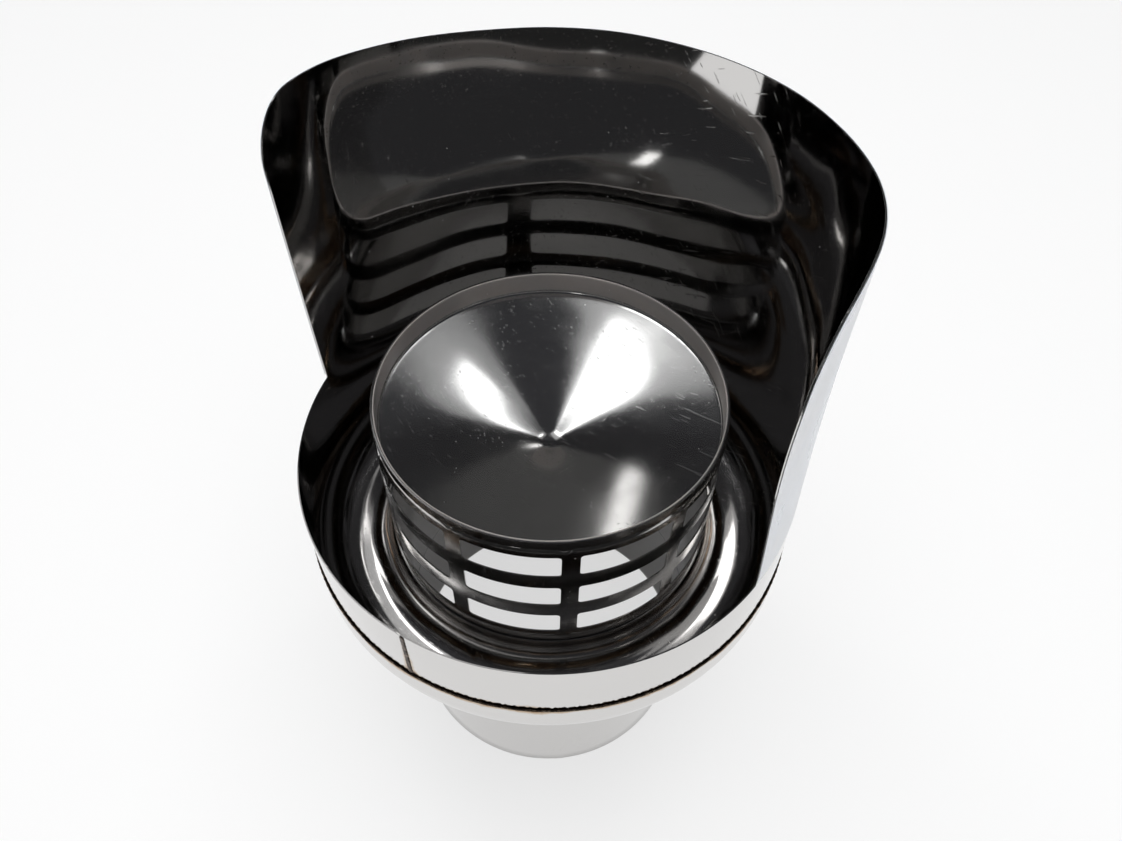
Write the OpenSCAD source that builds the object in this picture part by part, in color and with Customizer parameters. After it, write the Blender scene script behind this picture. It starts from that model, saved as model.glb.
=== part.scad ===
// Horizontal flue terminal in polished stainless sheet.
// It stands on the open mouth of its flue tube, with the tube's axis on Z.
// A slotted tube closed by an inverted cone stands in a round pan, and one sheet,
// rolled and butt-welded, makes both the collar on the pan and the wind hood above it.

/* [Sheet] */
// Thickness of the sheet of the pan, the cap and the cowl
sheet = 0.6; // [0.4:0.1:1.2]
// Radial clearance between two sheets that nest
nest = 0.2; // [0.1:0.05:0.4]

/* [Flue tube] */
// Outside diameter of the flue tube
tube_d = 150; // [120:1:180]
// Wall of the flue tube
tube_wall = 0.6; // [0.4:0.1:1.5]
// Length of the tube below the pan
inlet_len = 130; // [95:1:220]
// Depth of the widened mouth that takes the flue pipe
socket_len = 60; // [40:1:90]
// Radial clearance of a flue pipe of the tube's own size in that mouth
socket_gap = 0.05; // [0.02:0.01:0.07]
// Height of the tube's rim above the underside of the pan
drum_h = 96.5; // [88:0.5:130]
// Width of the rolled-down weld seam along the tube
seam_w = 6; // [3:0.5:7]
// Height of that seam above the tube
seam_t = 0.12; // [0.05:0.01:0.15]
// Direction of that seam
seam_turn = -85; // [-180:0.1:180]

/* [Slots] */
// Rows of slots
slot_rows = 3; // [2:1:3]
// Slots in a row
slot_columns = 10; // [6:1:14]
// Height of a slot
slot_h = 14; // [8:0.5:18]
// Spacing of the rows
slot_pitch = 22.7; // [20:0.1:26]
// Width of the bar between two slots, along the wall
slot_bar = 7.2; // [4:0.1:12]
// Solid band between the top row and the tube's rim
slot_top = 9.5; // [6:0.5:16]
// Direction from the tube's seam to the middle of the bar beside it
bar_offset = 1.4; // [-3:0.1:3]

/* [Cap] */
// Height of the cap's upright lip inside the tube
lip_h = 12; // [8:0.5:20]
// Slope of the cone below the horizontal
cone_slope = 18; // [12:0.5:24]
// Outside radius of the bend between lip and cone
lip_bend = 2; // [1.5:0.1:4]
// Radius of the cone's rounded tip
tip_r = 19; // [10:0.5:25]

/* [Pan] */
// Height of the pan's outer flange above its underside
flange_h = 30.5; // [26:0.5:45]
// Height of the pan's neck above its underside
neck_h = 18; // [16:0.5:30]
// Outside radius of the bend at the flange
flange_bend = 20; // [8:0.5:22]
// Outside radius of the bend at the neck
neck_bend = 14; // [6:0.5:14]

/* [Cowl] */
// Outside diameter of the collar
collar_d = 222; // [210:1:260]
// Depth of the collar inside the pan's flange
collar_lap = 12.5; // [5:0.5:16]
// Height of the collar's rim above the flange
collar_h = 33.5; // [20:0.5:60]
// Height of the hood above the collar's rim
hood_h = 133; // [80:1:180]
// Angle that the hood wraps
hood_wrap = 203.5; // [160:0.5:220]
// Direction of the hood's middle
hood_turn = 60; // [-180:0.5:180]
// Corner radius of the hood
hood_corner = 23; // [10:1:40]
// Inward curl of the hood's right end
curl_in = 10.3; // [0:0.1:12]
// Angle from the hood's middle at which the curl begins
curl_start = 52.8; // [30:0.1:60]
// Outward flare of the hood's left end
flare_out = 10; // [0:0.1:12]
// Angle from the hood's middle at which the flare begins
flare_start = 38; // [30:0.1:60]
// Height above the weld at which both are full
spring_rise = 127; // [60:1:164]

/* [Film] */
// Thickness of the protective film on the back of the hood
film_t = 0.1; // [0.1:0.05:0.2]

/* [Welds] */
// Size of the weld bead on the flange
bead = 1; // [0.6:0.1:1.5]
// Width of the butt weld that closes the collar
butt_w = 2; // [1:0.1:4]
// Height of the butt weld above the sheet
butt_t = 0.3; // [0.2:0.05:0.5]

/* [Hidden] */

steel = [0.78, 0.78, 0.79];
mirror_steel = [0.70, 0.71, 0.72];
burnt = [0.35, 0.28, 0.22];
film_tint = [0.90, 0.93, 0.97];

eps = 0.01;
tube_r = tube_d / 2;
tube_bore = tube_r - tube_wall;
tube_len = inlet_len + drum_h;
socket_r = tube_r + socket_gap;
shoulder_z = socket_len + 2 * (socket_r - tube_bore);

// The pan's neck goes round the tube, and its flange goes round the collar.
collar_r = collar_d / 2;
neck_r = tube_r + nest;
flange_r = collar_r + nest + sheet;
flange_z = inlet_len + flange_h;
collar_z = flange_z - collar_lap;
rim_z = flange_z + collar_h;
hood_z = rim_z + hood_h;

// Both bends shrink together where the trough is too narrow for them.
trough_w = flange_r - neck_r;
bend_share = min(1, trough_w / (flange_bend + neck_bend));
outer_bend = min(flange_bend * bend_share, flange_h);
inner_bend = min(neck_bend * bend_share, neck_h);

// Part of a ring between two directions, drawn in the plane.
module arc_strip(r_in, r_out, from, to) {
    far = 2 * r_out;
    mid = (from + to) / 2;
    intersection() {
        difference() {
            circle(r_out, $fn = 96);
            circle(r_in, $fn = 96);
        }
        polygon([
            [0, 0],
            far * [cos(from), sin(from)],
            far * [cos(mid), sin(mid)],
            far * [cos(to), sin(to)]
        ]);
    }
}

module ring_strip(r_in, r_out, z_low, z_high) {
    translate([r_in, z_low]) square([r_out - r_in, z_high - z_low]);
}

// Flue tube: open at both ends, with rows of slots below its rim.
slot_angle = 360 / slot_columns - slot_bar / tube_r * 180 / PI;

module slot(row, column) {
    top = tube_len - slot_top - row * slot_pitch;
    turn = seam_turn + bar_offset + 360 * (column + 0.5) / slot_columns - slot_angle / 2;
    rotate([0, 0, turn])
        rotate_extrude(angle = slot_angle, $fn = 128)
            ring_strip(tube_r - 2 * tube_wall, tube_r + tube_wall, top - slot_h, top);
}

// Section of the tube between two distances from its inside: the mouth is widened up to a
// shoulder, where the flue pipe stops.
function tube_section(near, far) = [
    [socket_r + near, 0],
    [socket_r + far, 0],
    [socket_r + far, socket_len],
    [tube_bore + far, shoulder_z],
    [tube_bore + far, tube_len],
    [tube_bore + near, tube_len],
    [tube_bore + near, shoulder_z],
    [socket_r + near, socket_len]
];

// The weld that closes the tube, rolled down to a low band.
module tube_seam() {
    width = seam_w / tube_r * 180 / PI;
    rotate([0, 0, seam_turn - width / 2])
        rotate_extrude(angle = width, $fn = 128)
            polygon(tube_section(tube_wall / 2, tube_wall + seam_t));
}

module flue_tube() {
    color(steel)
        difference() {
            union() {
                rotate_extrude($fn = 128) polygon(tube_section(0, tube_wall));
                tube_seam();
            }
            for (row = [0 : slot_rows - 1], column = [0 : slot_columns - 1]) slot(row, column);
        }
}

// Cap: an inverted cone with an upright lip, flush with the tube's rim.
cap_r = tube_bore - nest;
bend_mid = [cap_r - lip_bend, tube_len - lip_h + lip_bend];
slope_n = [sin(cone_slope), -cos(cone_slope)];
tip_z = (tip_r + sheet - lip_bend - slope_n * bend_mid) / cos(cone_slope);
tip_mid = [0, tip_z];

module cap() {
    color(mirror_steel)
        rotate_extrude($fn = 128) {
            ring_strip(cap_r - sheet, cap_r, bend_mid[1], tube_len);
            translate(bend_mid) arc_strip(lip_bend - sheet, lip_bend, cone_slope - 90, 0);
            polygon([
                bend_mid + lip_bend * slope_n,
                bend_mid + (lip_bend - sheet) * slope_n,
                tip_mid + tip_r * slope_n,
                tip_mid + (tip_r + sheet) * slope_n
            ]);
            translate(tip_mid) arc_strip(tip_r, tip_r + sheet, -90, cone_slope - 90);
        }
}

// Pan: a round trough between the neck on the tube and the flange on the collar.
module pan() {
    color(mirror_steel)
        translate([0, 0, inlet_len])
            rotate_extrude($fn = 128) {
                ring_strip(neck_r, neck_r + sheet, inner_bend, neck_h);
                translate([neck_r + inner_bend, inner_bend])
                    arc_strip(inner_bend - sheet, inner_bend, 180, 270);
                ring_strip(neck_r + inner_bend - eps, flange_r - outer_bend + eps, 0, sheet);
                translate([flange_r - outer_bend, outer_bend])
                    arc_strip(outer_bend - sheet, outer_bend, -90, 0);
                ring_strip(flange_r - sheet, flange_r, outer_bend, flange_h);
            }
}

// Cowl: the sheet is a grid of columns round the axis and rows up its height.
// Directions are turned so that the hood's middle is at 0 and the butt joint at 180.
half_wrap = hood_wrap / 2;
corner_steps = 6;
corner_angle = hood_corner / collar_r * 180 / PI;
hood_steps = 46;
front_steps = 38;
hood_rows = 6;

function smooth(t) = let (u = min(max(t, 0), 1)) u * u * (3 - 2 * u);

// Columns of one rounded corner, as [direction from the corner's start, height lost at the top].
function corner(k) = let (a = 90 * k / corner_steps)
    [corner_angle * sin(a), hood_corner * (1 - cos(a))];

straight = half_wrap - corner_angle;
columns = concat(
    [for (k = [corner_steps : -1 : 1]) [-straight - corner(k)[0], corner(k)[1]]],
    [for (k = [0 : hood_steps]) [straight * (2 * k / hood_steps - 1), 0]],
    [for (k = [1 : corner_steps]) [straight + corner(k)[0], corner(k)[1]]],
    [for (k = [1 : front_steps - 1]) [half_wrap + (360 - hood_wrap) * k / front_steps, hood_h]]
);
column_count = len(columns);
hood_columns = hood_steps + 2 * corner_steps;
bead_top = flange_z + 1.8 * bead;
heights = [collar_z, bead_top, rim_z];
row_count = len(heights) + hood_rows;

function row_z(column, row) = row < len(heights) ? heights[row]
    : rim_z + (hood_h - column[1]) * (row - len(heights) + 1) / hood_rows;

// How far the sheet stands off the round: nothing at the weld and at the hood's middle,
// most near the hood's two ends, and nothing again along the front of the collar.
spring_span = 50.8;
spring_end = 128;

function spring_start(w) = w < 0 ? curl_start : flare_start;
function end_spring(w) = (w < 0 ? -curl_in : flare_out)
    * smooth((abs(w) - spring_start(w)) / spring_span)
    * smooth((spring_end - abs(w)) / spring_span);
function spring(w, z) = end_spring(w) * smooth((z - bead_top) / spring_rise);

// The sheet keeps its length, so an end that flares out wraps less.
length_share = 0.6;

function sheet_point(column, row, off) =
    let (
        w = column[0] > 180 ? column[0] - 360 : column[0],
        z = row_z(column, row),
        s = spring(w, z),
        start = sign(w) * spring_start(w),
        turn = hood_turn + w - (w - start) * length_share * s / collar_r
    )
    [(collar_r + s + off) * cos(turn), (collar_r + s + off) * sin(turn), z];

function has_cell(i, row, first) =
    row >= first && row < row_count - 1 && (row < len(heights) - 1 || i < hood_columns);

// Solid sheet between two offsets from the collar's outside, from row number first upwards.
module rolled_sheet(off_in, off_out, first) {
    points = [
        for (off = [off_out, off_in], column = columns, row = [0 : row_count - 1])
            sheet_point(column, row, off)
    ];
    layer = column_count * row_count;

    function at(i, row, inner) = inner * layer + (i % column_count) * row_count + row;
    function before(i) = (i + column_count - 1) % column_count;
    function quad(a, b, c, d) = [[a, b, c], [a, c, d]];

    faces = [
        for (i = [0 : column_count - 1], row = [first : row_count - 2])
            if (has_cell(i, row, first))
                each concat(
                    quad(at(i, row, 0), at(i, row + 1, 0), at(i + 1, row + 1, 0), at(i + 1, row, 0)),
                    quad(at(i, row, 1), at(i + 1, row, 1), at(i + 1, row + 1, 1), at(i, row + 1, 1)),
                    has_cell(i, row + 1, first) ? []
                        : quad(at(i, row + 1, 0), at(i, row + 1, 1),
                            at(i + 1, row + 1, 1), at(i + 1, row + 1, 0)),
                    has_cell(i, row - 1, first) ? []
                        : quad(at(i, row, 1), at(i, row, 0), at(i + 1, row, 0), at(i + 1, row, 1)),
                    has_cell((i + 1) % column_count, row, first) ? []
                        : quad(at(i + 1, row, 0), at(i + 1, row + 1, 0),
                            at(i + 1, row + 1, 1), at(i + 1, row, 1)),
                    has_cell(before(i), row, first) ? []
                        : quad(at(i, row, 1), at(i, row + 1, 1), at(i, row + 1, 0), at(i, row, 0))
                )
    ];
    polyhedron(points, faces);
}

module cowl() {
    color(mirror_steel) rolled_sheet(-sheet, 0, 0);
}

// Protective film, left on the outside of the hood above the collar's rim.
film_gap = 0.05;
film_first = len(heights) - 1;

module protective_film() {
    color(film_tint) rolled_sheet(film_gap, film_gap + film_t, film_first);
}

// Weld bead along the top of the flange, against the collar.
weld_gap = 0.05;

module collar_weld() {
    color(burnt)
        rotate_extrude($fn = 128)
            translate([collar_r + weld_gap, flange_z])
                polygon(bead * [[0, 0], [1.1, 0], [1.2, 0.5], [0.9, 1], [0.4, 1.3], [0, 1.4]]);
}

// Butt weld up the front of the collar, opposite the hood's middle.
module butt_weld() {
    width = butt_w / collar_r * 180 / PI;
    foot = collar_r + weld_gap;
    color(burnt)
        rotate([0, 0, hood_turn + 180 - width / 2])
            rotate_extrude(angle = width, $fn = 128)
                ring_strip(foot, foot + butt_t, bead_top, rim_z - butt_w);
}

flue_tube();
cap();
pan();
cowl();
collar_weld();
butt_weld();
protective_film();
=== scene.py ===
import math

import bpy
import numpy as np
from mathutils import Matrix, Vector


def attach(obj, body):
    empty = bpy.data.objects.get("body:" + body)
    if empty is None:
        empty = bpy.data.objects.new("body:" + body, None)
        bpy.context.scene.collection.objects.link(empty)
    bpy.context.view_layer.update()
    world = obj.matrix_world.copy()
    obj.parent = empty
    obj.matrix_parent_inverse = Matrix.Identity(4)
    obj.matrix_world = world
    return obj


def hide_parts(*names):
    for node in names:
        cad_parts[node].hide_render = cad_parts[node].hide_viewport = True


mm = 0.001

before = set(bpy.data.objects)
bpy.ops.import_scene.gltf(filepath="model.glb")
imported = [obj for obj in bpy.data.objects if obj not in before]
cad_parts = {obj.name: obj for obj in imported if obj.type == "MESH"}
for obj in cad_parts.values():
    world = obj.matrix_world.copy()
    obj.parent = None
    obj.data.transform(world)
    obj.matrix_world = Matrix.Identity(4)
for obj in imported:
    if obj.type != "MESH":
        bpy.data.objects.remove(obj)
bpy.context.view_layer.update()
print("frame loaded:", ", ".join(sorted(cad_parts)))


def smoothStep(t):
    # 0 below t = 0, 1 above t = 1, and an even S between them
    u = np.clip(t, 0.0, 1.0)
    return u * u * (3.0 - 2.0 * u)


def gridQuads(columns, rows, closed, keep=None):
    # quads between the points (i, j) of a grid; the last column joins the first if closed
    i = np.arange(columns if closed else columns - 1)[:, None]
    j = np.arange(rows - 1)[None, :]
    k = (i + 1) % columns
    quads = np.stack([i * rows + j, k * rows + j, k * rows + j + 1, i * rows + j + 1], axis=-1)
    if keep is None:
        return quads.reshape(-1, 4)
    return quads[keep]


def weld(points, faces, digits=4):
    # points that fall together become one, and unused points go
    _, first, back = np.unique(np.round(points, digits), axis=0, return_index=True, return_inverse=True)
    faces = back.reshape(-1)[faces]
    used, faces = np.unique(faces, return_inverse=True)
    return points[first[used]], faces.reshape(-1, 4)


def makePiece(name, points, faces, material):
    mesh = bpy.data.meshes.new(name)
    mesh.vertices.add(len(points))
    mesh.vertices.foreach_set("co", (np.asarray(points, dtype=np.float64) * mm).ravel())
    mesh.loops.add(faces.size)
    mesh.loops.foreach_set("vertex_index", faces.ravel().astype(np.int32))
    mesh.polygons.add(len(faces))
    mesh.polygons.foreach_set("loop_start", np.arange(0, faces.size, faces.shape[1], dtype=np.int32))
    mesh.update(calc_edges=True)
    mesh.validate()
    mesh.polygons.foreach_set("use_smooth", np.ones(len(mesh.polygons), dtype=bool))
    mesh.materials.append(material)
    piece = bpy.data.objects.new(name, mesh)
    bpy.context.scene.collection.objects.link(piece)
    return piece


def aroundAxis(profile, angles):
    # a closed profile of (radius, height) carried round the axis
    r, z = profile[:, 0], profile[:, 1]
    x = r[None, :] * np.cos(angles)[:, None]
    y = r[None, :] * np.sin(angles)[:, None]
    return np.stack([x, y, np.broadcast_to(z, x.shape)], axis=-1)


def turnedPiece(name, profile, steps, material, shape=None):
    # the profile's last point joins its first, so the result is a closed shell
    angles = np.arange(steps) * 2 * np.pi / steps
    points = aroundAxis(np.vstack([profile, profile[:1]]), angles)
    if shape is not None:
        points = shape(points)
    faces = gridQuads(steps, len(profile) + 1, True)
    points, faces = weld(points.reshape(-1, 3), faces)
    keep = np.array([len(set(face)) == 4 for face in faces.tolist()])
    return makePiece(name, points, faces[keep], material) if keep.all() else makeMixed(name, points, faces, material)


def makeMixed(name, points, faces, material):
    # quads that close to a triangle at the axis lose their double corner
    mesh = bpy.data.meshes.new(name)
    rows = [list(dict.fromkeys(face)) for face in faces.tolist()]
    mesh.from_pydata((points * mm).tolist(), [], [row for row in rows if len(row) > 2])
    mesh.update()
    mesh.polygons.foreach_set("use_smooth", np.ones(len(mesh.polygons), dtype=bool))
    mesh.materials.append(material)
    piece = bpy.data.objects.new(name, mesh)
    bpy.context.scene.collection.objects.link(piece)
    return piece


def arcPoints(centre, radius, start, end, steps):
    a = np.radians(np.linspace(start, end, steps))
    return np.stack([centre[0] + radius * np.cos(a), centre[1] + radius * np.sin(a)], axis=-1)


def linePoints(start, end, steps):
    t = np.linspace(0.0, 1.0, steps)[:, None]
    return np.asarray(start) * (1 - t) + np.asarray(end) * t


def sheetProfile(middle, thickness, capSteps=5):
    # a sheet's middle line becomes a closed outline: both sides, and a round edge at each end
    middle = middle[np.r_[True, np.hypot(*np.diff(middle, axis=0).T) > 1e-6]]
    along = np.gradient(middle, axis=0)
    along /= np.hypot(along[:, 0], along[:, 1])[:, None]
    side = np.stack([along[:, 1], -along[:, 0]], axis=-1)
    half = thickness / 2
    a = np.linspace(0, np.pi, capSteps)[1:-1, None]
    endCap = middle[-1] + half * (np.cos(a) * side[-1] + np.sin(a) * along[-1])
    startCap = middle[0] + half * (-np.cos(a) * side[0] - np.sin(a) * along[0])
    return np.vstack([middle + half * side, endCap, (middle - half * side)[::-1], startCap])


def finishSheet(piece, thickness, edge):
    # the sheet gets its thickness inwards, and its edges are broken
    solid = piece.modifiers.new("thickness", "SOLIDIFY")
    solid.thickness = thickness * mm
    solid.offset = -1.0
    bevel = piece.modifiers.new("edge", "BEVEL")
    bevel.width = edge * mm
    bevel.segments = 2
    bevel.limit_method = "ANGLE"
    bevel.angle_limit = math.radians(50)
    bevel.harden_normals = True
    return piece


class Nodes:
    # a short way to add and link shader nodes
    def __init__(self, tree):
        self.tree = tree
        self.tree.nodes.clear()

    def add(self, kind, **values):
        node = self.tree.nodes.new(kind)
        for key, value in values.items():
            if key.startswith("in_"):
                name = key[3:].replace("_", " ")
                name = int(name) if name.isdigit() else name
                if isinstance(value, bpy.types.NodeSocket):
                    self.tree.links.new(value, node.inputs[name])
                else:
                    node.inputs[name].default_value = value
            else:
                setattr(node, key, value)
        return node

    def math(self, operation, a, b=0.0, c=0.0, clamp=False):
        node = self.add("ShaderNodeMath", operation=operation, use_clamp=clamp)
        for socket, value in zip(node.inputs, (a, b, c)):
            if isinstance(value, bpy.types.NodeSocket):
                self.tree.links.new(value, socket)
            else:
                socket.default_value = value
        return node.outputs[0]

    def ramp(self, value, stops, interpolation="LINEAR"):
        node = self.add("ShaderNodeValToRGB", in_0=value)
        node.color_ramp.interpolation = interpolation
        elements = node.color_ramp.elements
        while len(elements) < len(stops):
            elements.new(0.5)
        for element, (position, color) in zip(elements, stops):
            element.position = position
            element.color = (*color, 1.0) if len(color) == 3 else color
        return node.outputs[0]

    def mapRange(self, value, low, high, toLow, toHigh, smooth=False):
        node = self.add("ShaderNodeMapRange", in_Value=value)
        node.interpolation_type = "SMOOTHSTEP" if smooth else "LINEAR"
        node.inputs["From Min"].default_value = low
        node.inputs["From Max"].default_value = high
        node.inputs["To Min"].default_value = toLow
        node.inputs["To Max"].default_value = toHigh
        return node.outputs[0]

    def mixColor(self, factor, a, b, blend="MIX"):
        node = self.add("ShaderNodeMix", data_type="RGBA", blend_type=blend)
        for name, value in ((0, factor), (6, a), (7, b)):
            if isinstance(value, bpy.types.NodeSocket):
                self.tree.links.new(value, node.inputs[name])
            else:
                node.inputs[name].default_value = value if name == 0 else (*value, 1.0)
        return node.outputs[2]


def newGroup(name, inputs, outputs):
    tree = bpy.data.node_groups.new(name, "ShaderNodeTree")
    n = Nodes(tree)
    for label, kind, value in inputs:
        socket = tree.interface.new_socket(name=label, in_out="INPUT", socket_type=kind)
        if value is not None:
            socket.default_value = value
    for label, kind in outputs:
        tree.interface.new_socket(name=label, in_out="OUTPUT", socket_type=kind)
    return tree, n, n.add("NodeGroupInput"), n.add("NodeGroupOutput")


def useGroup(n, tree, **values):
    node = n.add("ShaderNodeGroup", node_tree=tree)
    for key, value in values.items():
        socket = node.inputs[key.replace("_", " ")]
        if isinstance(value, bpy.types.NodeSocket):
            n.tree.links.new(value, socket)
        else:
            socket.default_value = value
    return node


def newMaterial(name):
    material = bpy.data.materials.new(name)
    material.use_nodes = True
    n = Nodes(material.node_tree)
    shader = n.add("ShaderNodeBsdfPrincipled")
    output = n.add("ShaderNodeOutputMaterial")
    n.tree.links.new(shader.outputs[0], output.inputs[0])
    return material, n, shader


def makeSheetGroup():
    # scratches, cloudy polish and dust on polished sheet, as a roughness and a height
    tree, n, given, out = newGroup(
        "sheetPolish",
        [("Vector", "NodeSocketVector", None), ("Polish", "NodeSocketFloat", 0.08),
         ("Cloud", "NodeSocketFloat", 0.05), ("Scratch", "NodeSocketFloat", 0.1),
         ("Dust", "NodeSocketFloat", 0.0)],
        [("Roughness", "NodeSocketFloat"), ("Height", "NodeSocketFloat"), ("Dust", "NodeSocketFloat")],
    )
    vector = given.outputs["Vector"]
    cloud = n.add("ShaderNodeTexNoise", in_Vector=vector, in_Scale=38.0, in_Detail=4.0)
    cloudy = n.mapRange(cloud.outputs[0], 0.42, 0.72, 0.0, 1.0, smooth=True)
    lines = []
    for turn, scale in ((0.6, 900.0), (-1.1, 700.0)):
        turned = n.add("ShaderNodeVectorRotate", in_Vector=vector, rotation_type="EULER_XYZ")
        turned.inputs["Rotation"].default_value = (turn, turn * 0.7, turn * 1.3)
        stretched = n.add("ShaderNodeVectorMath", operation="MULTIPLY", in_0=turned.outputs[0])
        stretched.inputs[1].default_value = (scale, scale, scale * 0.035)
        noise = n.add("ShaderNodeTexNoise", in_Vector=stretched.outputs[0], in_Scale=1.0, in_Detail=1.0)
        lines.append(n.mapRange(noise.outputs[0], 0.70, 0.74, 0.0, 1.0, smooth=True))
    scratches = n.math("MAXIMUM", lines[0], lines[1])
    cells = n.add("ShaderNodeTexVoronoi", in_Vector=vector, in_Scale=210.0)
    spots = n.mapRange(cells.outputs["Distance"], 0.07, 0.03, 0.0, 1.0)
    few = n.add("ShaderNodeTexWhiteNoise", in_Vector=cells.outputs["Position"])
    chosen = n.math("LESS_THAN", few.outputs["Value"], given.outputs["Dust"])
    dust = n.math("MULTIPLY", spots, chosen)
    rough = n.math("MULTIPLY_ADD", cloudy, given.outputs["Cloud"], given.outputs["Polish"])
    rough = n.math("MULTIPLY_ADD", scratches, given.outputs["Scratch"], rough, clamp=True)
    n.tree.links.new(rough, out.inputs["Roughness"])
    n.tree.links.new(n.math("MULTIPLY", scratches, -1.0), out.inputs["Height"])
    n.tree.links.new(dust, out.inputs["Dust"])
    return tree


def makeHeatGroup():
    # burnt colours beside a weld: from bare steel through straw and brown to blue-black scale
    tree, n, given, out = newGroup(
        "heatTint",
        [("Vector", "NodeSocketVector", None), ("Distance", "NodeSocketFloat", 1.0),
         ("Steel", "NodeSocketColor", (0.6, 0.59, 0.58, 1.0)), ("Scale", "NodeSocketFloat", 60.0)],
        [("Color", "NodeSocketColor"), ("Burnt", "NodeSocketFloat")],
    )
    noise = n.add("ShaderNodeTexNoise", in_Vector=given.outputs["Vector"],
                  in_Scale=given.outputs["Scale"], in_Detail=5.0, in_Roughness=0.65)
    wander = n.mapRange(noise.outputs[0], 0.25, 0.75, -0.35, 0.35)
    away = n.math("ADD", given.outputs["Distance"], wander)
    tint = n.ramp(away, [(0.0, (0.035, 0.025, 0.02)), (0.18, (0.09, 0.055, 0.035)),
                         (0.42, (0.30, 0.19, 0.11)), (0.7, (0.52, 0.43, 0.33)), (1.0, (0.6, 0.59, 0.58))])
    fade = n.mapRange(away, 0.7, 1.0, 0.0, 1.0, smooth=True)
    n.tree.links.new(n.mixColor(fade, tint, (0.6, 0.59, 0.58)), out.inputs["Color"])
    mix = n.tree.nodes[-1]
    n.tree.links.new(given.outputs["Steel"], mix.inputs[7])
    n.tree.links.new(n.mapRange(away, 0.5, 0.0, 0.0, 1.0), out.inputs["Burnt"])
    return tree


sheetPolish = makeSheetGroup()
heatTint = makeHeatGroup()


def cylinderPlace(n, vector):
    # radius, height and direction of a point round the axis, in metres and radians
    parts = n.add("ShaderNodeSeparateXYZ", in_Vector=vector)
    x, y, z = parts.outputs
    radius = n.math("SQRT", n.math("ADD", n.math("MULTIPLY", x, x), n.math("MULTIPLY", y, y)))
    return radius, z, n.math("ARCTAN2", y, x)


def nearDirection(n, angle, degrees, width):
    # 1 at a direction round the axis, falling to 0 at width degrees on both sides
    away = n.math("ABSOLUTE", n.math("SUBTRACT", angle, math.radians(degrees)))
    return n.mapRange(away, 0.0, math.radians(width), 1.0, 0.0)


steelLook = {
    "cowl": {"color": (0.64, 0.63, 0.62), "polish": 0.045, "cloud": 0.03, "scratch": 0.10, "dust": 0.03},
    "cap": {"color": (0.62, 0.62, 0.615), "polish": 0.115, "cloud": 0.05, "scratch": 0.12, "dust": 0.22},
    "pan": {"color": (0.64, 0.63, 0.62), "polish": 0.09, "cloud": 0.08, "scratch": 0.12, "dust": 0.04},
    "tube": {"color": (0.63, 0.62, 0.61), "polish": 0.11, "cloud": 0.06, "scratch": 0.12, "dust": 0.03},
}


def steelMaterial(name, look, tintDistance=None, bumpSize=0.00004, paintedReflectionEdge=None):
    material, n, shader = newMaterial(name)
    place = n.add("ShaderNodeTexCoord").outputs["Object"]
    polish = useGroup(n, sheetPolish, Vector=place, Polish=look["polish"], Cloud=look["cloud"],
                      Scratch=look["scratch"], Dust=look["dust"])
    paintedReflection = paintedReflectionEdge(n, place) if paintedReflectionEdge is not None else None
    color = None
    roughness = polish.outputs["Roughness"]
    if tintDistance is not None:
        tint = useGroup(n, heatTint, Vector=place, Distance=tintDistance(n, place),
                        Steel=(*look["color"], 1.0), Scale=70.0)
        color = tint.outputs["Color"]
        roughness = n.math("MULTIPLY_ADD", tint.outputs["Burnt"], 0.35, roughness, clamp=True)
    base = color if color is not None else look["color"]
    dustAndPaintedSheen = polish.outputs["Dust"]
    # painted reflection: on the lip the steel turns pale and brownish and loses part of its metal shine, standing in
    # for the bright light it mirrors
    if paintedReflection is not None:
        base = n.mixColor(paintedReflection, base, (0.50, 0.455, 0.43))
        dustAndPaintedSheen = n.math("MAXIMUM", dustAndPaintedSheen, n.math("MULTIPLY", paintedReflection, 0.55))
        roughness = n.math("MULTIPLY_ADD", paintedReflection, 0.28, roughness, clamp=True)
    n.tree.links.new(n.math("SUBTRACT", 1.0, dustAndPaintedSheen), shader.inputs["Metallic"])
    dusty = n.mixColor(polish.outputs["Dust"], base, (0.85, 0.85, 0.84))
    n.tree.links.new(dusty, shader.inputs["Base Color"])
    roughness = n.math("MULTIPLY_ADD", polish.outputs["Dust"], 0.5, roughness, clamp=True)
    n.tree.links.new(roughness, shader.inputs["Roughness"])
    bump = n.add("ShaderNodeBump", in_Height=polish.outputs["Height"])
    bump.inputs["Strength"].default_value = 0.25
    bump.inputs["Distance"].default_value = bumpSize
    n.tree.links.new(bump.outputs[0], shader.inputs["Normal"])
    return material


def cowlHeat(n, place):
    # heat reaches up the collar from the pan's weld, and out from the butt joint
    radius, z, angle = cylinderPlace(n, place)
    fromWeld = n.mapRange(z, 0.1605, 0.1660, 0.45, 1.3)
    joint = nearDirection(n, angle, -120.0, 2.2)
    return n.math("SUBTRACT", fromWeld, n.math("MULTIPLY", joint, n.mapRange(z, 0.194, 0.16, 0.35, 1.0)))


def panHeat(n, place):
    radius, z, angle = cylinderPlace(n, place)
    return n.mapRange(z, 0.1605, 0.1555, 0.45, 1.4)


def capLipPaintedReflection(n, place):
    # painted reflection: the upright lip gets a dull, pale, faintly brown colour in uneven patches, in place of the
    # bright light the lip mirrors; the faint brown itself is heat tint
    radius, z, angle = cylinderPlace(n, place)
    patches = n.add("ShaderNodeTexNoise", in_Vector=place, in_Scale=60.0, in_Detail=4.0)
    uneven = n.mapRange(patches.outputs[0], 0.3, 0.7, 0.55, 1.0)
    return n.math("MULTIPLY", n.mapRange(z, 0.2155, 0.2175, 0.0, 1.0, smooth=True), uneven)


cowlSteel = steelMaterial("cowl_mirror_steel", steelLook["cowl"], cowlHeat)
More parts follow.
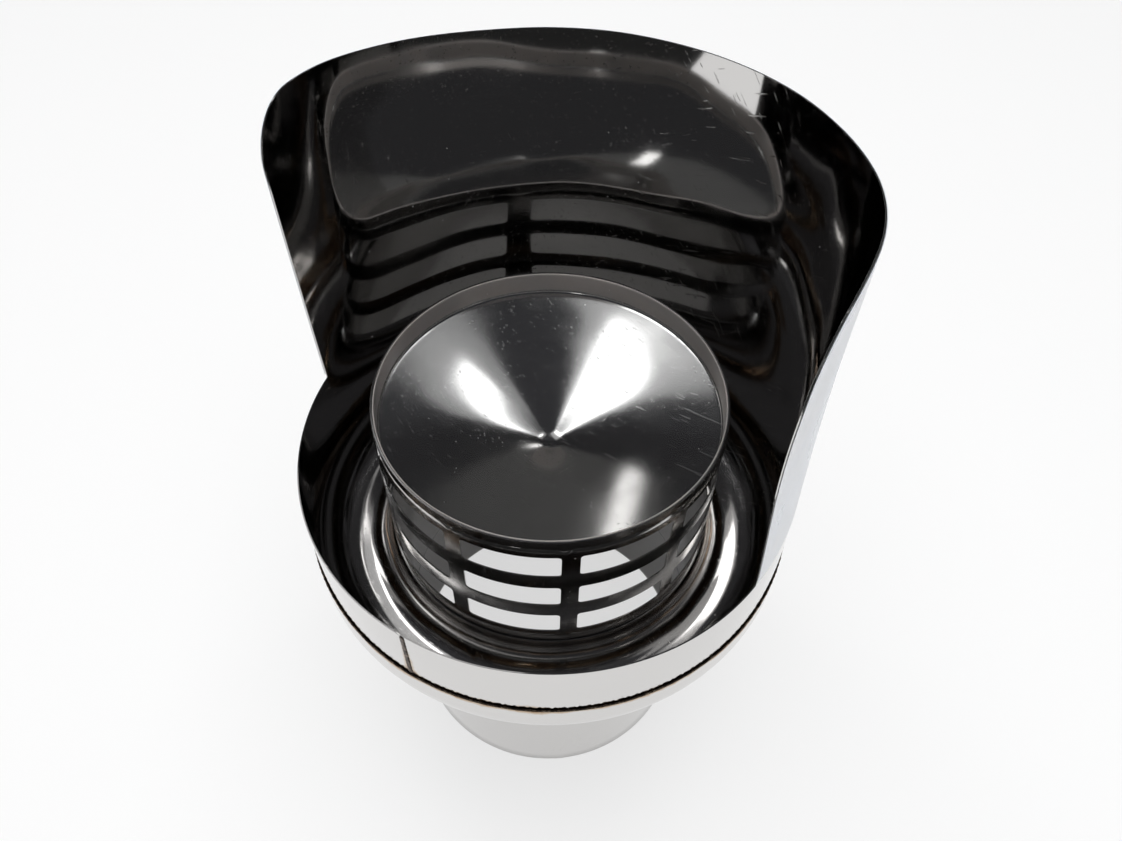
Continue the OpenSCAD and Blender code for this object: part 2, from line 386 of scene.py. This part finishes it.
# the cap's lip carries a painted reflection, pale and brownish
capSteel = steelMaterial("cap_turned_steel", steelLook["cap"], paintedReflectionEdge=capLipPaintedReflection)
panSteel = steelMaterial("pan_pressed_steel", steelLook["pan"], panHeat)
tubeSteel = steelMaterial("tube_rolled_steel", steelLook["tube"])


def makeWeldMaterial(name):
    material, n, shader = newMaterial(name)
    place = n.add("ShaderNodeTexCoord").outputs["Object"]
    noise = n.add("ShaderNodeTexNoise", in_Vector=place, in_Scale=420.0, in_Detail=6.0, in_Roughness=0.7)
    color = n.ramp(noise.outputs[0], [(0.3, (0.015, 0.012, 0.011)), (0.5, (0.07, 0.05, 0.038)),
                                      (0.62, (0.24, 0.18, 0.13)), (0.75, (0.52, 0.48, 0.43))])
    n.tree.links.new(color, shader.inputs["Base Color"])
    shader.inputs["Metallic"].default_value = 0.85
    n.tree.links.new(n.mapRange(noise.outputs[0], 0.3, 0.7, 0.6, 0.3), shader.inputs["Roughness"])
    bump = n.add("ShaderNodeBump", in_Height=noise.outputs[0])
    bump.inputs["Strength"].default_value = 0.8
    bump.inputs["Distance"].default_value = 0.0004
    n.tree.links.new(bump.outputs[0], shader.inputs["Normal"])
    return material


weldMaterial = makeWeldMaterial("burnt_weld")


def makeFilmMaterial(name):
    material, n, shader = newMaterial(name)
    place = n.add("ShaderNodeTexCoord").outputs["Object"]
    noise = n.add("ShaderNodeTexNoise", in_Vector=place, in_Scale=22.0, in_Detail=3.0)
    color = n.ramp(noise.outputs[0], [(0.35, (0.80, 0.84, 0.90)), (0.65, (0.88, 0.90, 0.93))])
    n.tree.links.new(color, shader.inputs["Base Color"])
    n.tree.links.new(n.mapRange(noise.outputs[0], 0.3, 0.7, 0.22, 0.38), shader.inputs["Roughness"])
    creases = n.add("ShaderNodeTexNoise", in_Vector=place, in_Scale=55.0, in_Detail=2.0)
    bump = n.add("ShaderNodeBump", in_Height=creases.outputs[0])
    bump.inputs["Strength"].default_value = 0.35
    bump.inputs["Distance"].default_value = 0.001
    n.tree.links.new(bump.outputs[0], shader.inputs["Normal"])
    return material


filmMaterial = makeFilmMaterial("protective_film")
print("materials made")


tubeShape = {
    "radius": 75.0, "wall": 0.6, "height": 226.5, "slotRows": 3, "slotColumns": 10,
    "slotHeight": 14.0, "rowPitch": 22.7, "bar": 7.2, "topBand": 9.5, "slotCorner": 1.6,
    "barDirection": -83.6, "seamDirection": -85.0, "seamWidth": 6.0, "seamHeight": 0.12,
    "socketLength": 60.0, "socketWidening": 0.65, "shoulder": 1.3,
}


def tubeWall(shape):
    # the wall unrolled: x runs round the tube, y up it. Each slot stands in a tile of its own,
    # and the tile's points run from its border to the slot's rounded outline.
    radius = shape["radius"]
    pitch = 2 * math.pi * radius / shape["slotColumns"]
    halfX, halfY = pitch / 2, shape["rowPitch"] / 2
    slotX, slotY = (pitch - shape["bar"]) / 2, shape["slotHeight"] / 2
    corner = shape["slotCorner"]
    # spacing is closest at the corners, where the outline bends
    nearCorner = 1 - corner * np.array([0.0, 0.12, 0.3, 0.55, 0.85]) / slotX
    acrossHalf = np.r_[nearCorner, np.linspace(nearCorner[-1], 0.0, 12)[1:]]
    across = np.r_[-acrossHalf, acrossHalf[::-1][1:]]
    nearCornerY = 1 - corner * np.array([0.0, 0.12, 0.3, 0.55, 0.85]) / slotY
    upHalf = np.r_[nearCornerY, np.linspace(nearCornerY[-1], 0.0, 4)[1:]]
    up = np.r_[-upHalf, upHalf[::-1][1:]]
    border = np.vstack([
        np.stack([across, -np.ones_like(across)], -1)[:-1],
        np.stack([np.ones_like(up), up], -1)[:-1],
        np.stack([-across, np.ones_like(across)], -1)[:-1],
        np.stack([-np.ones_like(up), -up], -1)[:-1],
    ])
    slot = border * [slotX, slotY]
    core = np.clip(slot, [-(slotX - corner), -(slotY - corner)], [slotX - corner, slotY - corner])
    out = slot - core
    length = np.hypot(out[:, 0], out[:, 1])
    inCorner = (np.abs(slot[:, 0]) > slotX - corner) & (np.abs(slot[:, 1]) > slotY - corner)
    rounded = core + out / length[:, None] * corner
    slot = np.where(inCorner[:, None], rounded, slot)
    steps = np.linspace(0.0, 1.0, 5)[None, :, None]
    tile = (border * [halfX, halfY])[:, None, :] * (1 - steps) + slot[:, None, :] * steps
    count = len(border)
    columnX = np.arange(shape["slotColumns"]) * pitch + halfX
    rowY = shape["height"] - shape["topBand"] - shape["slotHeight"] / 2 \
        - np.arange(shape["slotRows"]) * shape["rowPitch"]
    centres = np.stack(np.meshgrid(columnX, rowY, indexing="ij"), -1).reshape(-1, 1, 1, 2)
    tiles = (tile[None] + centres).reshape(-1, 2)
    quads = gridQuads(count, 5, True)[:, ::-1]
    tileCount = len(centres)
    faces = (quads[None] + (np.arange(tileCount) * count * 5)[:, None, None]).reshape(-1, 4)
    # plain bands above and below share the tiles' points
    ring = (across[:-1, None] * halfX).ravel()
    ringX = (columnX[:, None] + ring[None, :]).ravel()
    bottom = rowY[-1] - halfY
    top = rowY[0] + halfY
    bands = []
    shoulderLow = shape["socketLength"]
    shoulderHigh = shoulderLow + shape["shoulder"]
    lowBand = np.r_[np.linspace(0.0, shoulderLow, 24), np.linspace(shoulderHigh, bottom, 36)]
    for y in (lowBand, np.linspace(top, shape["height"], 5)):
        bands.append((np.stack(np.meshgrid(ringX, y, indexing="ij"), -1).reshape(-1, 2),
                      gridQuads(len(ringX), len(y), True)))
    points, allFaces = [tiles], [faces]
    offset = len(tiles)
    for bandPoints, bandFaces in bands:
        points.append(bandPoints)
        allFaces.append(bandFaces + offset)
        offset += len(bandPoints)
    return np.vstack(points), np.vstack(allFaces)


def rollTube(flat, shape):
    # round the tube from the bar that stands beside the seam; the seam's band is a little proud,
    # and the mouth is wider up to its shoulder
    radius = shape["radius"]
    angle = math.radians(shape["barDirection"]) + flat[:, 0] / radius
    fromSeam = (angle - math.radians(shape["seamDirection"]) + np.pi) % (2 * np.pi) - np.pi
    edge = (shape["seamWidth"] / 2 - np.abs(fromSeam) * radius) / 0.8
    mouth = np.clip((shape["socketLength"] + shape["shoulder"] - flat[:, 1]) / shape["shoulder"], 0.0, 1.0)
    r = radius + shape["seamHeight"] * smoothStep(edge) + shape["socketWidening"] * mouth
    return np.stack([r * np.cos(angle), r * np.sin(angle), flat[:, 1]], -1)


flatWall, wallFaces = tubeWall(tubeShape)
wallPoints, wallFaces = weld(rollTube(flatWall, tubeShape), wallFaces, 3)
flueTube = makePiece("flue_tube_wall", wallPoints, wallFaces, tubeSteel)
finishSheet(flueTube, tubeShape["wall"], 0.12)
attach(flueTube, "root")
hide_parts("flue_tube")
print("flue tube made:", len(wallFaces), "quads")


capShape = {
    "radius": 74.2, "sheet": 0.6, "top": 226.5, "lip": 12.0, "slope": 18.0, "bend": 2.0, "tip": 19.0,
}


def capProfile(shape):
    # lip down, bend inwards, cone down to a round tip on the axis, all as the sheet's middle line
    slope = math.radians(shape["slope"])
    half = shape["sheet"] / 2
    bendMiddle = np.array([shape["radius"] - shape["bend"], shape["top"] - shape["lip"] + shape["bend"]])
    normal = np.array([math.sin(slope), -math.cos(slope)])
    tipMiddle = np.array([0.0, (shape["tip"] + shape["sheet"] - shape["bend"] - normal @ bendMiddle)
                          / math.cos(slope)])
    lipR = shape["radius"] - half
    lip = linePoints((lipR, shape["top"] - half), (lipR, bendMiddle[1]), 9)
    bend = arcPoints(bendMiddle, shape["bend"] - half, 0, shape["slope"] - 90, 9)
    tip = arcPoints(tipMiddle, shape["tip"] + half, shape["slope"] - 90, -90, 9)
    cone = linePoints(bend[-1], tip[0], 60)
    return np.vstack([lip, bend[1:], cone[1:], tip[1:]])


def closedAtAxis(middle, thickness):
    # the outline of a sheet whose middle line ends on the axis
    outline = sheetProfile(middle, thickness)
    outline[:, 0] = np.maximum(outline[:, 0], 0.0)
    return outline


capMiddle = capProfile(capShape)


def capDents(points):
    # the spun cone isn't quite round: its height wavers a little from side to side
    r = np.hypot(points[..., 0], points[..., 1])
    a = np.arctan2(points[..., 1], points[..., 0])
    share = smoothStep((70.0 - r) / 20.0) * smoothStep(r / 25.0)
    points = points.copy()
    points[..., 2] += share * (0.10 * np.sin(3 * a + 0.7) + 0.05 * np.sin(7 * a + 2.0))
    return points


cap = turnedPiece("cap_cone", closedAtAxis(capMiddle, capShape["sheet"]), 288, capSteel, capDents)
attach(cap, "root")
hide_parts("cap")
print("cap made")


panShape = {
    "neckRadius": 75.2, "flangeRadius": 111.8, "sheet": 0.6, "under": 130.0,
    "neckHeight": 18.0, "flangeHeight": 30.5, "neckBend": 14.0, "flangeBend": 20.0,
}


def panProfile(shape):
    half = shape["sheet"] / 2
    under = shape["under"]
    neckX = shape["neckRadius"] + half
    flangeX = shape["flangeRadius"] - half
    inner = np.array([shape["neckRadius"] + shape["neckBend"], under + shape["neckBend"]])
    outer = np.array([shape["flangeRadius"] - shape["flangeBend"], under + shape["flangeBend"]])
    neck = linePoints((neckX, under + shape["neckHeight"] - half), (neckX, inner[1]), 4)
    innerArc = arcPoints(inner, shape["neckBend"] - half, 180, 270, 28)
    outerArc = arcPoints(outer, shape["flangeBend"] - half, -90, 0, 36)
    flange = linePoints((flangeX, outer[1]), (flangeX, under + shape["flangeHeight"] - half), 8)
    return np.vstack([neck, innerArc[1:], outerArc, flange[1:]])


def panDents(points):
    # pressing leaves slight waves round the trough
    r = np.hypot(points[..., 0], points[..., 1])
    a = np.arctan2(points[..., 1], points[..., 0])
    share = smoothStep((r - 78.0) / 8.0) * smoothStep((110.0 - r) / 8.0)
    points = points.copy()
    points[..., 2] += share * (0.12 * np.sin(5 * a + 1.1) + 0.08 * np.sin(11 * a + 0.4) + 0.05 * np.sin(19 * a))
    return points


pan = turnedPiece("pan_dish", sheetProfile(panProfile(panShape), panShape["sheet"]), 288, panSteel, panDents)
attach(pan, "root")
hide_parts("pan")
print("pan made")


cowlShape = {
    "radius": 111.0, "sheet": 0.6, "foot": 148.0, "beadTop": 162.3, "rim": 194.0, "top": 327.0,
    "middle": 60.0, "halfWrap": 101.75, "corner": 23.0,
    "curl": 10.3, "curlStart": 52.8, "flare": 10.0, "flareStart": 38.0, "rise": 127.0,
    "span": 50.8, "fadeEnd": 128.0, "lengthShare": 0.6,
}


def springOf(w, z, shape):
    # how far the sheet stands off the round at an angle w from the hood's middle
    side = np.abs(w)
    start = np.where(w < 0, shape["curlStart"], shape["flareStart"])
    size = np.where(w < 0, -shape["curl"], shape["flare"])
    ends = smoothStep((side - start) / shape["span"]) * smoothStep((shape["fadeEnd"] - side) / shape["span"])
    return size * ends * smoothStep((z - shape["beadTop"]) / shape["rise"])


def hoodWaves(w, z, shape):
    # slack in the rolled sheet: long shallow waves that grow above the collar
    share = smoothStep((z - shape["rim"]) / 60.0)
    a = np.radians(w)
    return share * (0.16 * np.sin(5.3 * a + z / 31.0) + 0.10 * np.sin(9.1 * a - z / 22.0 + 1.0)
                    + 0.05 * np.sin(17.0 * a + z / 47.0 + 2.2))


def cowlPoint(w, z, shape, off=0.0, waves=True):
    s = springOf(w, z, shape)
    start = np.sign(w) * np.where(w < 0, shape["curlStart"], shape["flareStart"])
    turn = np.radians(shape["middle"] + w - (w - start) * shape["lengthShare"] * s / shape["radius"])
    r = shape["radius"] + s + off
    if waves:
        r = r + hoodWaves(w, z, shape)
    return np.stack([r * np.cos(turn), r * np.sin(turn), z], -1)


def hoodColumns(shape, straightSteps, cornerSteps):
    # angles across the hood, and how much each column loses at the top to the rounded corners
    cornerAngle = math.degrees(shape["corner"] / shape["radius"])
    straight = shape["halfWrap"] - cornerAngle
    a = np.radians(np.linspace(0, 90, cornerSteps + 1))
    cornerW = straight + cornerAngle * np.sin(a)
    cornerLoss = shape["corner"] * (1 - np.cos(a))
    w = np.r_[-cornerW[:0:-1], np.linspace(-straight, straight, straightSteps + 1), cornerW[1:]]
    loss = np.r_[cornerLoss[:0:-1], np.zeros(straightSteps + 1), cornerLoss[1:]]
    return w, loss


def cowlSheet(shape):
    # columns go all the way round, rows up the collar and, for the hood's columns, on to the top
    w, loss = hoodColumns(shape, 150, 14)
    front = np.linspace(shape["halfWrap"], 360 - shape["halfWrap"], 110)[1:-1]
    frontW = np.where(front > 180, front - 360, front)
    allW = np.r_[w, frontW]
    collarZ = np.r_[np.linspace(shape["foot"], shape["beadTop"], 6), np.linspace(shape["beadTop"], shape["rim"], 14)[1:]]
    share = np.linspace(0, 1, 61)[1:]
    top = shape["top"] - np.r_[loss, np.zeros(len(frontW))]
    hoodZ = shape["rim"] + (top[:, None] - shape["rim"]) * share[None, :]
    z = np.hstack([np.broadcast_to(collarZ, (len(allW), len(collarZ))), hoodZ])
    points = cowlPoint(np.broadcast_to(allW[:, None], z.shape), z, shape)
    keep = np.ones((len(allW), z.shape[1] - 1), dtype=bool)
    keep[len(w) - 1:, len(collarZ) - 1:] = False
    faces = gridQuads(len(allW), z.shape[1], True, keep)
    return weld(points.reshape(-1, 3), faces)


cowlPoints, cowlFaces = cowlSheet(cowlShape)
cowl = makePiece("cowl_sheet", cowlPoints, cowlFaces, cowlSteel)
finishSheet(cowl, cowlShape["sheet"], 0.12)
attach(cowl, "root")
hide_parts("cowl")
print("cowl made:", len(cowlFaces), "quads")


filmShape = {"gap": 0.35, "thickness": 0.1, "bottom": 196.0}


def filmSheet(shape, film):
    w, loss = hoodColumns(shape, 150, 14)
    share = np.linspace(0, 1, 61)
    top = shape["top"] - 0.1 - loss
    z = film["bottom"] + (top[:, None] - film["bottom"]) * share[None, :]
    wide = np.broadcast_to(w[:, None], z.shape)
    points = cowlPoint(wide, z, shape, film["gap"])
    return points.reshape(-1, 3), gridQuads(len(w), z.shape[1], False)


filmPoints, filmFaces = filmSheet(cowlShape, filmShape)
film = makePiece("protective_film_skin", filmPoints, filmFaces, filmMaterial)
filmSolid = film.modifiers.new("thickness", "SOLIDIFY")
filmSolid.thickness = filmShape["thickness"] * mm
filmSolid.offset = -1.0
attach(film, "root")
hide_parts("protective_film")
print("film made")


weldShape = {
    "radius": 111.25, "height": 160.7, "bead": 0.6, "jointDirection": -120.0,
    "jointLow": 162.4, "jointHigh": 193.4, "jointWidth": 2.0, "jointHeight": 0.3,
}


def weldRing(shape, steps, around):
    # a bead round the collar; its thickness follows uneven ripples
    a = np.arange(steps) * 2 * np.pi / steps
    ripple = (1 + 0.22 * np.sin(211 * a) + 0.18 * np.sin(97 * a + 1.3) * np.sin(13 * a)
              + 0.15 * np.sin(349 * a + 0.5))
    bead = shape["bead"] * np.clip(ripple, 0.35, 1.25)
    t = np.arange(around) * 2 * np.pi / around
    r = shape["radius"] + bead[:, None] * (0.35 + 0.55 * np.cos(t)[None, :])
    z = shape["height"] + bead[:, None] * 0.9 * np.sin(t)[None, :]
    points = np.stack([r * np.cos(a)[:, None], r * np.sin(a)[:, None], z], -1)
    points = np.concatenate([points, points[:, :1]], axis=1)
    faces = gridQuads(steps, around + 1, True)
    return weld(points.reshape(-1, 3), faces, 5)


ringPoints, ringFaces = weldRing(weldShape, 1800, 8)
ringBead = makePiece("collar_weld_bead", ringPoints, ringFaces, weldMaterial)
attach(ringBead, "root")
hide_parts("collar_weld")


def jointSeam(shape, steps, around):
    # a low flat bead up the collar's joint
    z = np.linspace(shape["jointLow"], shape["jointHigh"], steps)
    width = shape["jointWidth"] / 2 * (1 + 0.2 * np.sin(z * 5.1) + 0.12 * np.sin(z * 2.3 + 1))
    t = np.arange(around) * 2 * np.pi / around
    side = width[:, None] * np.cos(t)[None, :]
    out = 0.02 + shape["jointHeight"] * (0.5 + 0.5 * np.sin(t))[None, :] * np.ones_like(width)[:, None]
    angle = math.radians(shape["jointDirection"]) + side / 111.0
    r = 111.0 + out
    points = np.stack([r * np.cos(angle), r * np.sin(angle), np.broadcast_to(z[:, None], r.shape)], -1)
    ends = points.mean(axis=1, keepdims=True)
    first = np.broadcast_to(ends[0], points[0].shape)[None]
    last = np.broadcast_to(ends[-1], points[-1].shape)[None]
    points = np.concatenate([first, points, last], axis=0)
    points = np.concatenate([points, points[:, :1]], axis=1)
    faces = gridQuads(steps + 2, around + 1, False)[:, ::-1]
    return points.reshape(-1, 3), faces


jointPoints, jointFaces = jointSeam(weldShape, 90, 10)
_, firstPoint, backPoint = np.unique(np.round(jointPoints, 5), axis=0, return_index=True, return_inverse=True)
joint = makeMixed("butt_weld_bead", jointPoints[firstPoint], backPoint.reshape(-1)[jointFaces], weldMaterial)
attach(joint, "root")
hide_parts("butt_weld")
print("welds made")


roomLook = {
    "floorColor": (0.90, 0.90, 0.90), "floorOwnWhite": 0.65, "floorSize": 14.0,
    "horizon": (0.92, 0.92, 0.92), "zenith": (0.04, 0.04, 0.043), "horizonTop": 0.10, "zenithFrom": 0.30,
    "mat": {"color": 0.012, "near": -0.27, "far": -3.0, "half": 4.0},
    "flag": {"color": 0.14, "radius": 3.0, "height": 2.0, "from": -200.0, "to": 20.0},
}


def planeObject(name, corners, material):
    mesh = bpy.data.meshes.new(name)
    mesh.from_pydata(corners, [], [(0, 1, 2, 3)])
    mesh.materials.append(material)
    plane = bpy.data.objects.new(name, mesh)
    bpy.context.scene.collection.objects.link(plane)
    return plane


def plainMaterial(name, color, roughness):
    material, n, shader = newMaterial(name)
    shader.inputs["Base Color"].default_value = (*color, 1.0)
    shader.inputs["Roughness"].default_value = roughness
    return material


half = roomLook["floorSize"] / 2
floorMaterial, floorNodes, floorShader = newMaterial("plain_floor")
floorShader.inputs["Base Color"].default_value = (*roomLook["floorColor"], 1.0)
floorShader.inputs["Roughness"].default_value = 0.9
# the camera and the metal see a floor that is white by itself for the most part, and the rest is lit
rays = floorNodes.add("ShaderNodeLightPath")
mirrored = floorNodes.math("MAXIMUM", rays.outputs["Is Glossy Ray"], rays.outputs["Is Transmission Ray"])
# painted shade: for the metal's reflections the floor's own white drops to 0.12 inside the tube's radius, where
# little light comes in
floorPlace = floorNodes.add("ShaderNodeTexCoord").outputs["Object"]
fromAxis = floorNodes.add("ShaderNodeVectorMath", operation="LENGTH", in_0=floorPlace).outputs["Value"]
# painted shade on the floor inside the tube, seen only in the metal's reflections
paintedShadeUnderTube = floorNodes.mapRange(fromAxis, 0.074, 0.078, 0.12, 1.0)
seen = floorNodes.math("MAXIMUM", rays.outputs["Is Camera Ray"], floorNodes.math("MULTIPLY", mirrored, paintedShadeUnderTube))
ownWhite = floorNodes.add("ShaderNodeEmission", in_Color=(1.0, 1.0, 1.0, 1.0), in_Strength=1.0)
floorMix = floorNodes.add("ShaderNodeMixShader", in_0=floorNodes.math("MULTIPLY", seen, roomLook["floorOwnWhite"]),
                          in_1=floorShader.outputs[0], in_2=ownWhite.outputs[0])
floorOutput = next(node for node in floorNodes.tree.nodes if node.bl_idname == "ShaderNodeOutputMaterial")
floorNodes.tree.links.new(floorMix.outputs[0], floorOutput.inputs[0])
planeObject("floor", [(-half, -half, 0), (half, -half, 0), (half, half, 0), (-half, half, 0)], floorMaterial)

def hideFromCamera(stage):
    stage.visible_camera = False
    stage.visible_shadow = False
    stage.visible_diffuse = False


# a black card lies in front of the object, out of the picture, as it does for polished metal
card = roomLook["mat"]
cardMaterial = plainMaterial("black_card", (card["color"],) * 3, 0.9)
hideFromCamera(planeObject("black_card", [
    (-card["half"], card["far"], 0.002), (card["half"], card["far"], 0.002),
    (card["half"], card["near"], 0.002), (-card["half"], card["near"], 0.002)], cardMaterial))

# and a dark cloth hangs round the camera's side of the room
flag = roomLook["flag"]
flagTurn = np.radians(np.linspace(flag["from"], flag["to"], 45))[:, None]
flagHeight = np.array([[0.0, flag["height"]]])
flagPoints = np.stack(np.broadcast_arrays(
    flag["radius"] * np.cos(flagTurn), flag["radius"] * np.sin(flagTurn), flagHeight), -1).reshape(-1, 3)
cloth = makePiece("dark_cloth", flagPoints / mm, gridQuads(45, 2, False),
                  plainMaterial("dark_cloth", (flag["color"],) * 3, 0.9))
hideFromCamera(cloth)

world = bpy.data.worlds.new("studio")
bpy.context.scene.world = world
world.use_nodes = True
w = Nodes(world.node_tree)
direction = w.add("ShaderNodeTexCoord").outputs["Generated"]
height = w.add("ShaderNodeSeparateXYZ", in_Vector=direction).outputs[2]
sky = w.ramp(height, [(0.0, roomLook["horizon"]), (roomLook["horizonTop"], roomLook["horizon"]),
                      (roomLook["zenithFrom"], roomLook["zenith"])])
background = w.add("ShaderNodeBackground", in_Color=sky, in_Strength=1.0)
worldOut = w.add("ShaderNodeOutputWorld")
w.tree.links.new(background.outputs[0], worldOut.inputs[0])


def softLight(name, azimuth, elevation, distance, sizeX, sizeY, power, color=(1, 1, 1), turn=0.0):
    data = bpy.data.lights.new(name, "AREA")
    data.shape = "RECTANGLE"
    data.size, data.size_y = sizeX, sizeY
    data.energy = power
    data.color = color
    light = bpy.data.objects.new(name, data)
    a, e = math.radians(azimuth), math.radians(elevation)
    aim = Vector((0, 0, 0.2))
    light.location = aim + distance * Vector((math.cos(e) * math.cos(a), math.cos(e) * math.sin(a), math.sin(e)))
    towards = (aim - light.location).to_track_quat("-Z", "Y")
    light.rotation_mode = "QUATERNION"
    light.rotation_quaternion = towards @ Matrix.Rotation(math.radians(turn), 4, "Z").to_quaternion()
    bpy.context.scene.collection.objects.link(light)
    return light


# name: direction, height angle, distance, width, length, radiance, turn
lampLook = {
    "right_strip": (49, 55, 2.4, 0.16, 0.62, 3.0, 0),
    "right_glow": (50, 58, 2.7, 0.60, 1.10, 0.35, 0),
    "left_strip": (134, 63, 2.4, 0.32, 0.84, 3.0, 0),
    "left_glow": (127, 64, 2.7, 1.10, 1.30, 0.50, 0),
    "front_lamp": (-106, 26, 2.4, 0.24, 0.50, 2.5, 0),
    "overhead": (-90, 88, 2.5, 3.0, 3.0, 3.2, 0),
}
for lampName, (azimuth, elevation, distance, width, length, radiance, turn) in lampLook.items():
    power = radiance * math.pi * width * length  # a plain area lamp sends out pi times its radiance per area
    lamp = softLight(lampName, azimuth, elevation, distance, width, length, power, turn=turn)
    lamp.visible_glossy = lampName != "overhead"  # the overhead one lights the floor and the film only
print("lights made")


cameraView = {
    "place": (0.0, -0.24466, 0.50003), "forward": (0.0120981, 0.6403963, -0.7679494),
    "up": (-0.0098142, 0.7680446, 0.6403211), "focalPixels": 873.8, "imageWidth": 1122,
}
cameraData = bpy.data.cameras.new("camera")
cameraData.sensor_width = 36.0
cameraData.lens = cameraView["focalPixels"] / cameraView["imageWidth"] * 36.0
cameraData.clip_start = 0.01
camera = bpy.data.objects.new("camera", cameraData)
bpy.context.scene.collection.objects.link(camera)
forward = Vector(cameraView["forward"]).normalized()
up = Vector(cameraView["up"]).normalized()
right = forward.cross(up).normalized()
up = right.cross(forward)
turned = Matrix((right, up, -forward)).transposed().to_4x4()
turned.translation = Vector(cameraView["place"])
camera.matrix_world = turned
bpy.context.scene.camera = camera
bpy.context.scene.view_settings.view_transform = "Standard"
